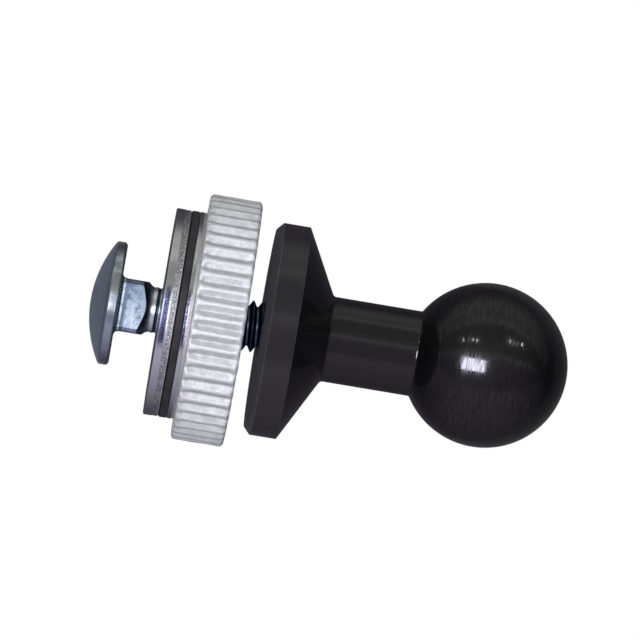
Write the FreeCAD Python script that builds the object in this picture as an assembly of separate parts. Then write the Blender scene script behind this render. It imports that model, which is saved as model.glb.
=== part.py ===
import FreeCAD, Part

import math
import os

# Ball stud for a slotted mounting track: a flanged one-inch ball post, a carriage bolt screwed into it,
# and a thumb nut that clamps three washers against the track's lips.
# All lengths are in millimetres. Z runs along the bolt towards the ball, and the origin is the ball's centre.

# Ball post, turned from one bar
ball_diameter = 25.4
neck_diameter = 13.2
ball_neck_fillet = 0.4
ball_centre_height = 35.1
flange_diameter = 33.0
flange_rim_height = 4.15
flange_rim_edge_round = 0.15
flange_chamfer_height = 1.0
flange_chamfer_width = 1.1
cone_height = 5.25
cone_neck_fillet = 0.7
hole_beyond_bolt = 1.2
drill_point_angle = 118.0

# Thread of bolt, nut and post
thread_diameter = 7.94
thread_root_diameter = 6.2
thread_pitch = 1.411
thread_crest_width = 0.18
thread_flank_angle = 30.0
thread_clearance = 0.06
thread_flank_play = 0.05
tapped_minor_diameter = 6.54
thread_mouth_chamfer = 0.35
ridge_sink = 0.05

# Carriage bolt
bolt_length = 38.1
bolt_tip_chamfer = 0.9
shank_diameter = 6.95
head_diameter = 19.1
head_rim_height = 1.6
head_rim_edge_round = 0.3
dome_height = 2.7
square_width = 8.2
square_corner_round = 0.8
square_height = 3.4
square_cone_height = 1.85
square_fillet = 0.75
slot_gap = 6.45
thread_below_nut = 1.0

# Washers
washer_diameter = 32.1
washer_bore = 8.73
washer_edge_round = 0.18
track_washer_thickness = 2.3
rubber_washer_thickness = 1.3
nut_washer_thickness = 1.2

# Thumb nut
nut_diameter = 38.1
nut_rim_height = 7.95
nut_corner_round = 0.5
nut_boss_inset = 4.15
nut_boss_height = 0.15
nut_to_flange_gap = 2.75
flute_count = 52
flute_width = 1.84
flute_depth = 0.58
stop_clearance = 0.05

# How far a cutting shape runs past what it cuts, and how near an edge lies to the place it is picked by
cut_overrun = 2.0
edge_pick_share = 0.1

# Heights along the bolt, from the ball's centre down
flange_face = -ball_centre_height
flange_rim_low = flange_face + flange_chamfer_height
flange_rim_top = flange_rim_low + flange_rim_height
cone_top = flange_rim_top + cone_height
nut_top = flange_face - nut_to_flange_gap
nut_rim_low = nut_top - nut_rim_height
nut_seat = nut_rim_low - nut_boss_height
rubber_top = nut_seat - nut_washer_thickness
track_washer_top = rubber_top - rubber_washer_thickness
track_washer_face = track_washer_top - track_washer_thickness
head_underside = track_washer_face - slot_gap
head_rim_low = head_underside - head_rim_height
dome_apex = head_rim_low - dome_height
square_full_top = head_underside + square_height
square_cone_top = square_full_top + square_cone_height
bolt_end = head_underside + bolt_length
hole_end = bolt_end + hole_beyond_bolt

# The square's corners end in a cone, and the track washer's bore stops on it
shank_radius = shank_diameter / 2
square_corner_radius = (square_width / 2 - square_corner_round) * math.sqrt(2) + square_corner_round
cone_slope = (square_corner_radius - shank_radius) / square_cone_height
washer_stop = square_cone_top - (washer_bore / 2 - shank_radius) / cone_slope
travel_down = track_washer_face - washer_stop - stop_clearance
travel_up = nut_to_flange_gap - stop_clearance
shank_top = nut_seat - travel_down - thread_below_nut


def vector(radius, height):
    return FreeCAD.Vector(radius, 0, height)


def line(start, end):
    return Part.LineSegment(vector(*start), vector(*end)).toShape()


def arc(start, middle, end):
    return Part.Arc(vector(*start), vector(*middle), vector(*end)).toShape()


def revolved(edges):
    # Turns a closed outline of (radius, height) edges into a solid round the Z axis.
    face = Part.Face(Part.Wire(edges))
    solid = face.revolve(FreeCAD.Vector(0, 0, 0), FreeCAD.Vector(0, 0, 1), 360)
    return solid


def turned(points):
    # A solid of revolution with straight edges only.
    closed = points + [points[0]]
    return revolved([line(a, b) for a, b in zip(closed, closed[1:])])


def cylinder(radius, low, high):
    return Part.makeCylinder(radius, high - low, FreeCAD.Vector(0, 0, low))


def ring_edges(solid, radius, height, tolerance):
    # The circular edges of a turned solid at one radius and height.
    found = []
    for edge in solid.Edges:
        box = edge.BoundBox
        level = abs(box.ZMax - height) < tolerance and abs(box.ZMin - height) < tolerance
        if level and abs(box.XMax - radius) < tolerance:
            found.append(edge)
    return found


def rounded_rings(solid, rings, round_radius):
    # Rounds the rings, given as (radius, height), of a turned solid.
    edges = []
    for radius, height in rings:
        edges += ring_edges(solid, radius, height, round_radius * edge_pick_share)
    return solid.makeFillet(round_radius, edges)


def flank_rise(depth):
    # The axial width that one flank takes over a radial depth.
    return depth * math.tan(math.radians(thread_flank_angle))


def thread_ridge(inner_radius, crest_radius, crest_width, low, high):
    # A right-hand helical ridge from below low to above high, made of one-turn faces.
    # Every ridge is in step with the bolt's, because its turns are counted from the bolt's end.
    half_base = crest_width / 2 + flank_rise(crest_radius - inner_radius)
    half_crest = crest_width / 2
    corners = [(inner_radius, -half_base), (crest_radius, -half_crest)]
    corners += [(crest_radius, half_crest), (inner_radius, half_base)]
    first = math.floor((low - bolt_end) / thread_pitch) - 1
    last = math.ceil((high - bolt_end) / thread_pitch) + 1
    faces = []
    for turn in range(first, last):
        start = bolt_end + turn * thread_pitch
        edges = [helix_edge(radius, start + offset) for radius, offset in corners]
        faces += [Part.makeRuledSurface(a, b) for a, b in zip(edges, edges[1:] + edges[:1])]
    for turn in (first, last):
        start = bolt_end + turn * thread_pitch
        points = [vector(radius, start + offset) for radius, offset in corners]
        faces.append(Part.Face(Part.makePolygon(points + points[:1])))
    shell = Part.makeShell(faces)
    shell.sewShape()
    ridge = Part.Solid(shell)
    if ridge.Volume < 0:
        ridge.reverse()
    return ridge


def helix_edge(radius, start):
    helix = Part.makeHelix(thread_pitch, thread_pitch, radius)
    helix.translate(FreeCAD.Vector(0, 0, start))
    return helix.Edges[0]


def tap(low, high):
    # The space that a tapped hole leaves round the bolt's thread.
    minor_radius = tapped_minor_diameter / 2
    crest_radius = thread_diameter / 2 + thread_clearance
    crest_width = thread_crest_width + 2 * thread_flank_play
    ridge = thread_ridge(minor_radius - ridge_sink, crest_radius, crest_width, low, high)
    core = cylinder(minor_radius, low - cut_overrun, high + cut_overrun)
    return core.fuse(ridge).common(cylinder(crest_radius + cut_overrun, low, high))


def mouth_chamfer(height, direction):
    # The countersink at a tapped hole's mouth. direction is 1 where the hole opens upwards.
    mouth_radius = thread_diameter / 2 + thread_mouth_chamfer
    inner_radius = tapped_minor_diameter / 2
    depth = mouth_radius - inner_radius
    outer = mouth_radius + cut_overrun
    return turned([
        (0, height - direction * depth),
        (inner_radius, height - direction * depth),
        (outer, height + direction * cut_overrun),
        (0, height + direction * cut_overrun),
    ])


def bolt_head():
    # A thin mushroom head: a flat underside, a short rim and a shallow dome.
    rim_radius = head_diameter / 2
    dome_radius = (rim_radius ** 2 + dome_height ** 2) / (2 * dome_height)
    dome_centre = dome_apex + dome_radius
    middle_radius = rim_radius / 2
    middle_height = dome_centre - math.sqrt(dome_radius ** 2 - middle_radius ** 2)
    head = revolved([
        line((0, dome_apex), (0, head_underside)),
        line((0, head_underside), (rim_radius, head_underside)),
        line((rim_radius, head_underside), (rim_radius, head_rim_low)),
        arc((rim_radius, head_rim_low), (middle_radius, middle_height), (0, dome_apex)),
    ])
    rings = [(rim_radius, head_underside), (rim_radius, head_rim_low)]
    return rounded_rings(head, rings, head_rim_edge_round)


def square_neck():
    # The square under the head. Its corners run out in a cone at the shank.
    low = head_underside - head_rim_height / 2
    height = square_cone_top - low
    half = square_width / 2
    square = Part.makeBox(square_width, square_width, height, FreeCAD.Vector(-half, -half, low))
    uprights = [e for e in square.Edges if e.BoundBox.ZLength > height / 2]
    square = square.makeFillet(square_corner_round, uprights)
    outer = square_corner_radius + cut_overrun
    outer_start = square_cone_top - (outer - shank_radius) / cone_slope
    envelope = turned([
        (0, low - cut_overrun),
        (outer, low - cut_overrun),
        (outer, outer_start),
        (shank_radius, square_cone_top),
        (0, square_cone_top),
    ])
    return square.common(envelope)


def neck_fillet(head_and_square):
    # The fillet where the square meets the head's underside.
    tolerance = square_fillet * edge_pick_share
    edges = []
    for edge in head_and_square.Edges:
        box = edge.BoundBox
        level = box.ZLength < tolerance and abs(box.ZMax - head_underside) < tolerance
        if level and max(box.XMax, box.YMax, -box.XMin, -box.YMin) < square_corner_radius:
            edges.append(edge)
    return head_and_square.makeFillet(square_fillet, edges)


def bolt_thread():
    # The rolled thread: it starts in a short cone on the shank and ends in a chamfered tip.
    root_radius = thread_root_diameter / 2
    crest_radius = thread_diameter / 2
    ridge = thread_ridge(root_radius - ridge_sink, crest_radius, thread_crest_width, shank_top, bolt_end)
    core = cylinder(root_radius, shank_top - cut_overrun, bolt_end + cut_overrun)
    outer = crest_radius + cut_overrun
    envelope = turned([
        (0, shank_top),
        (shank_radius, shank_top),
        (outer, shank_top + outer - shank_radius),
        (outer, bolt_end - bolt_tip_chamfer - cut_overrun),
        (crest_radius - bolt_tip_chamfer, bolt_end),
        (0, bolt_end),
    ])
    return core.fuse(ridge).common(envelope)


def carriage_bolt():
    head_and_square = neck_fillet(bolt_head().fuse(square_neck()).removeSplitter())
    shank = cylinder(shank_radius, square_full_top, shank_top)
    return head_and_square.fuse([shank, bolt_thread()])


def washer(low, high):
    ring = cylinder(washer_diameter / 2, low, high).cut(
        cylinder(washer_bore / 2, low - cut_overrun, high + cut_overrun))
    rings = [(washer_diameter / 2, low), (washer_diameter / 2, high)]
    return rounded_rings(ring, rings, washer_edge_round)


def fluted_outline():
    # The nut's outline from above: V flutes with narrow lands between them.
    radius = nut_diameter / 2
    pitch_angle = 2 * math.pi / flute_count
    half_flute = math.asin(flute_width / 2 / radius)
    edges = []
    for flute in range(flute_count):
        flute_angle = flute * pitch_angle
        land_start = flute_angle + half_flute
        land_end = flute_angle + pitch_angle - half_flute
        bottom = rim_point(radius - flute_depth, flute_angle)
        start = rim_point(radius, land_start)
        middle = rim_point(radius, (land_start + land_end) / 2)
        end = rim_point(radius, land_end)
        next_bottom = rim_point(radius - flute_depth, flute_angle + pitch_angle)
        edges.append(Part.LineSegment(bottom, start).toShape())
        edges.append(Part.Arc(start, middle, end).toShape())
        edges.append(Part.LineSegment(end, next_bottom).toShape())
    return Part.Wire(edges)


def rim_point(radius, angle):
    return FreeCAD.Vector(radius * math.cos(angle), radius * math.sin(angle), nut_seat)


def nut_blank():
    # The nut before its flutes: a disc with rounded corners and a low boss on its washer side.
    rim_radius = nut_diameter / 2
    boss_radius = rim_radius - nut_boss_inset
    blank = turned([
        (0, nut_seat),
        (boss_radius, nut_seat),
        (boss_radius, nut_rim_low),
        (rim_radius, nut_rim_low),
        (rim_radius, nut_top),
        (0, nut_top),
    ])
    return rounded_rings(blank, [(rim_radius, nut_rim_low), (rim_radius, nut_top)], nut_corner_round)


def thumb_nut():
    fluted = Part.Face(fluted_outline()).extrude(FreeCAD.Vector(0, 0, nut_top - nut_seat))
    body = nut_blank().common(fluted)
    body = body.cut(tap(nut_seat - cut_overrun, nut_top + cut_overrun))
    return body.cut([mouth_chamfer(nut_seat, -1), mouth_chamfer(nut_top, 1)])


def post_body():
    # Flange, cone, neck and ball in one outline, before the hole.
    ball_radius = ball_diameter / 2
    neck_radius = neck_diameter / 2
    rim_radius = flange_diameter / 2
    ball_start = -math.sqrt(ball_radius ** 2 - neck_radius ** 2)
    body = revolved([
        line((0, ball_radius), (0, flange_face)),
        line((0, flange_face), (rim_radius - flange_chamfer_width, flange_face)),
        line((rim_radius - flange_chamfer_width, flange_face), (rim_radius, flange_rim_low)),
        line((rim_radius, flange_rim_low), (rim_radius, flange_rim_top)),
        line((rim_radius, flange_rim_top), (neck_radius, cone_top)),
        line((neck_radius, cone_top), (neck_radius, ball_start)),
        arc((neck_radius, ball_start), (ball_radius, 0), (0, ball_radius)),
    ])
    body = rounded_rings(body, [(neck_radius, cone_top)], cone_neck_fillet)
    body = rounded_rings(body, [(neck_radius, ball_start)], ball_neck_fillet)
    return rounded_rings(body, [(rim_radius, flange_rim_top)], flange_rim_edge_round)


def drilled_hole():
    # The drill's space beyond the thread, with its conical point.
    radius = tapped_minor_diameter / 2
    point_height = radius / math.tan(math.radians(drill_point_angle / 2))
    return turned([
        (0, bolt_end),
        (radius, bolt_end),
        (radius, hole_end),
        (0, hole_end + point_height),
    ])


def ball_post():
    body = post_body().cut(tap(flange_face - cut_overrun, hole_end - hole_beyond_bolt / 2))
    return body.cut([drilled_hole(), mouth_chamfer(flange_face, -1)])


def report(name, shape):
    box = shape.BoundBox
    print(name, "valid", shape.isValid(), "solids", len(shape.Solids), "volume", round(shape.Volume, 2),
          "z", round(box.ZMin, 3), round(box.ZMax, 3), "width", round(box.XLength, 3))


parts = {
    "carriage_bolt": carriage_bolt(),
    "track_washer": washer(track_washer_face, track_washer_top),
    "rubber_washer": washer(track_washer_top, rubber_top),
    "nut_washer": washer(rubber_top, nut_seat),
    "thumb_nut": thumb_nut(),
    "ball_post": ball_post(),
}

os.makedirs("parts", exist_ok=True)
for name, shape in parts.items():
    report(name, shape)
    shape.exportStep("parts/" + name + ".step")

degrees_per_millimetre = 360 / thread_pitch
print("nut travel down", round(travel_down, 4), "up", round(travel_up, 4))
print("nut turn from", round(-travel_down * degrees_per_millimetre, 1),
      "to", round(travel_up * degrees_per_millimetre, 1))
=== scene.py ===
import math

import bmesh
import bpy
from mathutils import Matrix, Vector, noise


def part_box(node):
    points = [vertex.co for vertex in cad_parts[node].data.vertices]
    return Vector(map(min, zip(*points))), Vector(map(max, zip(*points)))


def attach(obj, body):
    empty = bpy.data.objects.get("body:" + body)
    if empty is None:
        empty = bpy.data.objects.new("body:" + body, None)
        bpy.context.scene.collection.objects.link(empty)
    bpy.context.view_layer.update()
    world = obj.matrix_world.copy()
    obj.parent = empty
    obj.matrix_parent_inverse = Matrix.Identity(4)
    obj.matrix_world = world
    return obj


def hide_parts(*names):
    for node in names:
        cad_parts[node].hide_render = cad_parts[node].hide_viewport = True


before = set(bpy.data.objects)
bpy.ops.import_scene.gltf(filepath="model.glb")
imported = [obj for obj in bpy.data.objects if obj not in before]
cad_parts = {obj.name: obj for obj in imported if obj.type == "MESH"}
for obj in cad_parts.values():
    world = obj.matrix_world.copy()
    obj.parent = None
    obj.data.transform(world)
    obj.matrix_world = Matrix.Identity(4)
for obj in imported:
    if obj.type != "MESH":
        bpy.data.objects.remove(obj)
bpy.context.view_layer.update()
mm = 0.001


def inMm(*values):
    return tuple(value * mm for value in values)


print("frame loaded:", ", ".join(sorted(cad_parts)))

# Camera: lying over on its side beside the bolt, so that the bolt's axis runs across the picture.
photoView = {
    "tilt": math.radians(9.5),       # how far the axis falls to the right in the picture
    "yaw": math.radians(2.1),        # how far the camera stands round towards the bolt's head
    "aim": Vector((-2.69, 0, -26.23)) * mm,
    "distance": 861 * mm,
    "lens": 315.0,
}


def addCamera(view):
    away = Vector((0, -1, 0))
    along = Vector((-math.sin(view["tilt"]), 0, math.cos(view["tilt"])))
    up = Vector((-math.cos(view["tilt"]), 0, -math.sin(view["tilt"])))
    back = away * math.cos(view["yaw"]) - along * math.sin(view["yaw"])
    right = along * math.cos(view["yaw"]) + away * math.sin(view["yaw"])
    data = bpy.data.cameras.new("camera")
    data.lens = view["lens"]
    data.sensor_width = 36
    data.clip_start = 0.01
    data.clip_end = 20
    camera = bpy.data.objects.new("camera", data)
    turn = Matrix((right, up, back)).transposed()
    camera.matrix_world = Matrix.Translation(view["aim"] + back * view["distance"]) @ turn.to_4x4()
    bpy.context.scene.collection.objects.link(camera)
    bpy.context.scene.camera = camera


addCamera(photoView)
print("camera placed")


# Node helpers, for shaders and geometry alike.

def feed(tree, node, inputs):
    for key, value in inputs.items():
        if isinstance(value, bpy.types.NodeSocket):
            tree.links.new(value, node.inputs[key])
        else:
            node.inputs[key].default_value = value
    return node


def place(tree, kind, inputs=None, **settings):
    node = tree.nodes.new(kind)
    for name, value in settings.items():
        setattr(node, name, value)
    return feed(tree, node, inputs or {})


def calc(tree, operation, *values):
    return place(tree, "ShaderNodeMath", dict(enumerate(values)), operation=operation).outputs[0]


def smoothStep(tree, value, low, high):
    inputs = {"Value": value, "From Min": low, "From Max": high}
    return place(tree, "ShaderNodeMapRange", inputs, interpolation_type="SMOOTHSTEP").outputs[0]


def fade(tree, value, at, offsets):
    # Rises from 0 to 1 between two offsets from one place.
    return smoothStep(tree, value, at + offsets[0], at + offsets[1])


def zone(tree, value, low, high, offsets):
    # 1 in a stretch that rises at two offsets from low and falls at two from high.
    starts, full, fades, ends = offsets
    rising, falling = fade(tree, value, low, (starts, full)), fade(tree, value, high, (ends, fades))
    return calc(tree, "MULTIPLY", rising, falling)


def scaled(tree, value, low, high):
    return place(tree, "ShaderNodeMapRange", {"Value": value, "To Min": low, "To Max": high}).outputs[0]


def mixColor(tree, mask, first, second):
    node = place(tree, "ShaderNodeMix", data_type="RGBA")
    for socket, value in ((node.inputs["Factor"], mask), (node.inputs[6], first), (node.inputs[7], second)):
        if isinstance(value, bpy.types.NodeSocket):
            tree.links.new(value, socket)
        else:
            socket.default_value = value if isinstance(value, float) else (*value, 1)
    return node.outputs[2]


def layered(tree, color, layers):
    # Lays colors over the first one, each where its mask is 1.
    for mask, paint in layers:
        color = mixColor(tree, mask, color, paint)
    return color


def newGroup(name, inputs, outputs):
    tree = bpy.data.node_groups.new(name, "ShaderNodeTree")
    for label, kind in inputs:
        tree.interface.new_socket(label, in_out="INPUT", socket_type="NodeSocket" + kind)
    for label in outputs:
        tree.interface.new_socket(label, in_out="OUTPUT", socket_type="NodeSocketFloat")
    return tree, place(tree, "NodeGroupInput").outputs, place(tree, "NodeGroupOutput")


def useGroup(tree, group, inputs):
    node = tree.nodes.new("ShaderNodeGroup")
    node.node_tree = group
    return feed(tree, node, inputs).outputs


def axisRadius(tree, position):
    # The distance from the bolt's axis and the height along it.
    parts = place(tree, "ShaderNodeSeparateXYZ", {0: position}).outputs
    flat = place(tree, "ShaderNodeCombineXYZ", {0: parts[0], 1: parts[1]}).outputs[0]
    return place(tree, "ShaderNodeVectorMath", {0: flat}, operation="LENGTH").outputs["Value"], parts[2]


# Shader groups that several finishes share.

def ringWearGroup():
    # Bright spots along one turned edge, given by its radius and height: worn metal, and on the washers
    # painted highlight too.
    sizes = [(label, "Float") for label in ("Radius", "Height", "Width", "Patchiness")]
    tree, given, out = newGroup("ringWearAndHighlight", [("Position", "Vector")] + sizes, ["Mask"])
    radius, height = axisRadius(tree, given["Position"])
    across = calc(tree, "SUBTRACT", radius, given["Radius"])
    along = calc(tree, "SUBTRACT", height, given["Height"])
    offset = place(tree, "ShaderNodeCombineXYZ", {0: across, 1: along}).outputs[0]
    distance = place(tree, "ShaderNodeVectorMath", {0: offset}, operation="LENGTH").outputs["Value"]
    near = calc(tree, "SUBTRACT", 1.0, calc(tree, "DIVIDE", distance, given["Width"]))
    blurs = {"Vector": given["Position"], "Scale": 900.0, "Detail": 3.0}
    patches = place(tree, "ShaderNodeTexNoise", blurs).outputs["Fac"]
    shift = calc(tree, "MULTIPLY", calc(tree, "SUBTRACT", patches, 0.5), given["Patchiness"])
    mask = smoothStep(tree, calc(tree, "ADD", near, shift), 0.0, 0.9)
    feed(tree, out, {"Mask": mask})
    return tree


def turningGroup():
    # Fine lathe lines across one coordinate, uneven from line to line.
    sockets = [(label, "Float") for label in ("Along", "Spacing", "Wander")]
    tree, given, out = newGroup("turningLines", sockets, ["Lines", "Bands"])
    steps = calc(tree, "DIVIDE", given["Along"], given["Spacing"])
    quick = {"W": steps, "Scale": 1.0, "Detail": 2.0}
    lines = place(tree, "ShaderNodeTexNoise", quick, noise_dimensions="1D").outputs["Fac"]
    wave = calc(tree, "SINE", calc(tree, "MULTIPLY", steps, math.tau))
    wander = calc(tree, "MULTIPLY", lines, given["Wander"])
    both = calc(tree, "ADD", calc(tree, "MULTIPLY", wave, 0.25), wander)
    slow = {"W": calc(tree, "MULTIPLY", steps, 0.13), "Scale": 1.0, "Detail": 1.0}
    bands = place(tree, "ShaderNodeTexNoise", slow, noise_dimensions="1D").outputs["Fac"]
    feed(tree, out, {"Lines": both, "Bands": bands})
    return tree


def grainGroup():
    # Small specks and larger soft blotches.
    sockets = [("Position", "Vector"), ("Speck Size", "Float"), ("Blotch Size", "Float")]
    tree, given, out = newGroup("grain", sockets, ["Specks", "Blotches"])
    perSpeck = calc(tree, "DIVIDE", 1.0, given["Speck Size"])
    perBlotch = calc(tree, "DIVIDE", 1.0, given["Blotch Size"])
    fine = {"Vector": given["Position"], "Scale": perSpeck, "Detail": 2.0}
    broad = {"Vector": given["Position"], "Scale": perBlotch, "Detail": 4.0, "Roughness": 0.6}
    specks = place(tree, "ShaderNodeTexNoise", fine).outputs["Fac"]
    blotches = place(tree, "ShaderNodeTexNoise", broad).outputs["Fac"]
    feed(tree, out, {"Specks": specks, "Blotches": smoothStep(tree, blotches, 0.3, 0.7)})
    return tree


ringWearAndHighlight = ringWearGroup()
turning = turningGroup()
grain = grainGroup()


def newMaterial(name, **constants):
    # Constants go onto the shader's own sockets; the rest is fed by the caller.
    material = bpy.data.materials.new(name)
    material.use_nodes = True
    tree = material.node_tree
    shader = tree.nodes["Principled BSDF"]
    labels = {"metallic": "Metallic", "specular": "Specular IOR Level", "roughness": "Roughness"}
    for key, value in constants.items():
        shader.inputs[labels[key]].default_value = value
    position = place(tree, "ShaderNodeTexCoord").outputs["Object"]
    return material, tree, shader, position


def bump(tree, height, distance, strength=1.0, normal=None):
    inputs = {"Height": height, "Distance": distance, "Strength": strength}
    if normal is not None:
        inputs["Normal"] = normal
    return place(tree, "ShaderNodeBump", inputs).outputs[0]


def marksOn(tree, position, sizes):
    # sizes hold the size of the specks and of the blotches.
    return useGroup(tree, grain, {"Position": position, "Speck Size": sizes[0], "Blotch Size": sizes[1]})


def stretched(tree, position, shape):
    return place(tree, "ShaderNodeVectorMath", {0: position, 1: shape}, operation="MULTIPLY").outputs[0]


def edgeWearAndHighlight(tree, position, width, edges):
    # The strongest of several bright rings, each with its radius, height, patchiness and amount: worn edges,
    # and on the washers painted highlight too.
    wearAndHighlight = 0.0
    for radius, height, patchiness, amount in edges:
        ring = useGroup(tree, ringWearAndHighlight, {"Position": position, "Radius": radius, "Height": height,
                                         "Width": width, "Patchiness": patchiness})
        wearAndHighlight = calc(tree, "MAXIMUM", wearAndHighlight, calc(tree, "MULTIPLY", ring["Mask"], amount))
    return wearAndHighlight


blackFinish = {
    "color": (0.0052, 0.0047, 0.0056),
    "bandColor": (0.0074, 0.0068, 0.0080),
    "satinColor": (0.0190, 0.0172, 0.0205),
    # painted sheen: the chamfer is painted lighter
    "chamferSheenColor": (0.064, 0.062, 0.072),
    "bareColor": (0.40, 0.38, 0.40),
    "specular": 0.48,
    "polishedRoughness": 0.07,
    "satinRoughness": 0.15,
    "grain": inMm(0.16, 3.0),        # size of the specks and of the blotches
    "gritDepth": 0.006 * mm,
    "lineSpacing": 0.31 * mm,
    "lineDepth": 0.0010 * mm,
    "lineWander": 1.0,
    "neckLineShare": 0.2,            # how deep the lines are off the ball, beside those on it
    "strandGrain": inMm(0.19, 2.0),
    "strandShape": (0.09, 0.09, 1.0),    # drawn out across the axis
    "strandSpecks": (0.42, 0.58),    # the grain's values where a strand starts to turn dull and is so
    "strandDulling": 0.34,           # how much less the dull strands mirror
    "strandRoughness": 0.14,         # added in the roughest strands of the ball's turning marks
    "satinFade": inMm(0.10, -0.05),  # from the rim's top
    "chamferSheenFade": inMm(0.06, -0.06),    # from the rim's foot
    "ballFade": inMm(-0.3, 0.3),     # from the ball's foot
    "wearAndHighlightWidth": 0.15 * mm,
}


def blackAnodised(look, rimFoot, rimTop, ballFoot, edges):
    # Black anodising over turning lines: polished above the rim, satin below, a painted sheen on the
    # chamfer, rubbed bare along the edges.
    material, tree, shader, position = newMaterial("blackAnodised", metallic=0.0, specular=look["specular"])
    _, height = axisRadius(tree, position)
    lines = useGroup(tree, turning, {"Along": height, "Spacing": look["lineSpacing"],
                                     "Wander": look["lineWander"]})
    marks = marksOn(tree, position, look["grain"])
    strands = marksOn(tree, stretched(tree, position, look["strandShape"]), look["strandGrain"])
    satin = fade(tree, height, rimTop, look["satinFade"])
    onBall = fade(tree, height, ballFoot, look["ballFade"])
    banded = mixColor(tree, lines["Bands"], look["color"], look["bandColor"])
    color = layered(tree, banded, (
        (satin, look["satinColor"]),
        # Painted sheen on the chamfer.
        (fade(tree, height, rimFoot, look["chamferSheenFade"]), look["chamferSheenColor"]),
        (edgeWearAndHighlight(tree, position, look["wearAndHighlightWidth"], edges), look["bareColor"])))
    uneven = calc(tree, "MULTIPLY", smoothStep(tree, strands["Specks"], *look["strandSpecks"]), onBall)
    rough = calc(tree, "ADD", scaled(tree, satin, look["polishedRoughness"], look["satinRoughness"]),
                 calc(tree, "MULTIPLY", uneven, look["strandRoughness"]))
    dulling = calc(tree, "MULTIPLY", uneven, look["strandDulling"])
    depth = scaled(tree, onBall, look["neckLineShare"], 1.0)
    fine = bump(tree, calc(tree, "MULTIPLY", lines["Lines"], depth), look["lineDepth"])
    grit = bump(tree, calc(tree, "MULTIPLY", marks["Specks"], satin), look["gritDepth"], normal=fine)
    feed(tree, shader, {"Base Color": color, "Roughness": rough, "Metallic": dulling, "Normal": grit})
    return material


zincFinish = {
    "color": (0.47, 0.52, 0.56),
    "dullColor": (0.26, 0.30, 0.35),
    "domeColor": (0.56, 0.62, 0.73),
    "domeDullColor": (0.44, 0.53, 0.60),
    "rimShadeColor": (0.36, 0.41, 0.45),   # painted shade, on the rim towards +X
    "creaseShadeColor": (0.125, 0.15, 0.20),  # painted shade, at the square's foot
    "squareColor": (0.37, 0.44, 0.50),
    "squareDullColor": (0.10, 0.145, 0.225),
    # painted light: the shank is painted lighter
    "shankLitColor": (0.70, 0.75, 0.80),
    # painted shade in the run-out's dip by the washer
    "runOutShadeColor": (0.045, 0.065, 0.11),
    # painted shade on the thread beyond the nut
    "threadShadeColor": (0.13, 0.17, 0.24),
    "roughness": 0.20,
    "dullRoughness": 0.34,
    "domeRoughness": 0.40,
    "shankRoughness": 0.28,
    "grain": inMm(0.22, 1.3),
    "slowGrain": inMm(0.5, 4.5),
    "slowShare": 0.6,                # of the slow blotches, beside the fine ones, in the dull places
    "dullBlotches": (0.55, 1.45),    # the sums of both between which the plate turns dull
    "squareMottle": 0.75,
    "squareSpots": 0.15,
    "squareShade": 0.70,             # how much painted shade darkens the square towards -X
    "squareSides": inMm(2.5, -3.5),  # X where that shade starts and is full
    "rimShadeSides": inMm(-1.5, 1.5),     # X where the rim's painted shade starts and is full
    "rimFade": inMm(0.05, -0.05),    # from the rim's top
    "domeFade": inMm(-0.02, -0.60),  # from the rim's foot
    "creaseShadeZone": inMm(-0.24, 0.04, 0.16, 0.62),     # painted shade, from the square's foot
    "squareZone": inMm(0.0, 0.3, -0.9, -0.6),        # from the square's foot, and from the cone's top
    "shankFade": inMm(-0.25, -0.05),     # from the cone's top
    "runOutShadeZone": inMm(0.46, 0.60, 0.98, 1.12),
    "threadShadeFade": inMm(0.0, 0.2),
    "calmZone": inMm(-0.50, -0.35, 0.1, 0.3),        # from the rim's top, and from the square's foot
    "slowDepth": 0.02 * mm,
    "blotchDepth": 0.008 * mm,
    "speckDepth": 0.002 * mm,
}


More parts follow.
